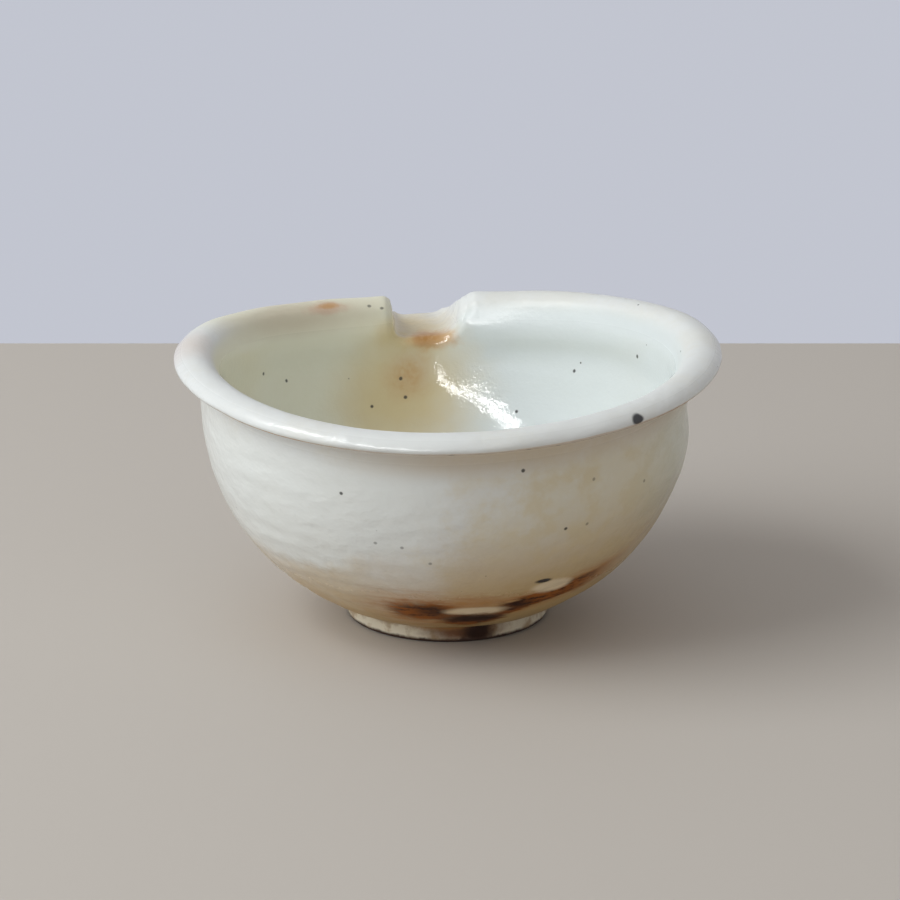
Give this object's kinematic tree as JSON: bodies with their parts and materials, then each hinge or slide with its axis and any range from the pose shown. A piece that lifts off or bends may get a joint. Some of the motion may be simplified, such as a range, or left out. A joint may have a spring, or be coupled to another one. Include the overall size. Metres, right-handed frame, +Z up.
{
  "type": "spouted sake bowl",
  "caption": "Small hand-thrown pouring bowl with a rolled rim, a short open spout cut into the rim, white ash glaze and a low foot ring; holds and pours sake.",
  "frame": {"origin": "centre of the foot ring on the plane that the bowl stands on", "axes": "+Z up along the bowl's axis, +Y from the axis towards the spout"},
  "size_m": [0.13, 0.1407, 0.065],
  "materials": {
    "white_glaze": "glossy milky white ash glaze with tan flashing, iron specks and throwing rings",
    "foot_clay": "partly glazed foot with bare, dark purple-brown clay on the standing edge"
  },
  "bodies": {
    "root": {"bowl_wall": "white_glaze", "rim_roll": "white_glaze", "spout": "white_glaze", "spout_coil": "white_glaze", "foot_ring": "foot_clay"}
  },
  "joints": []
}
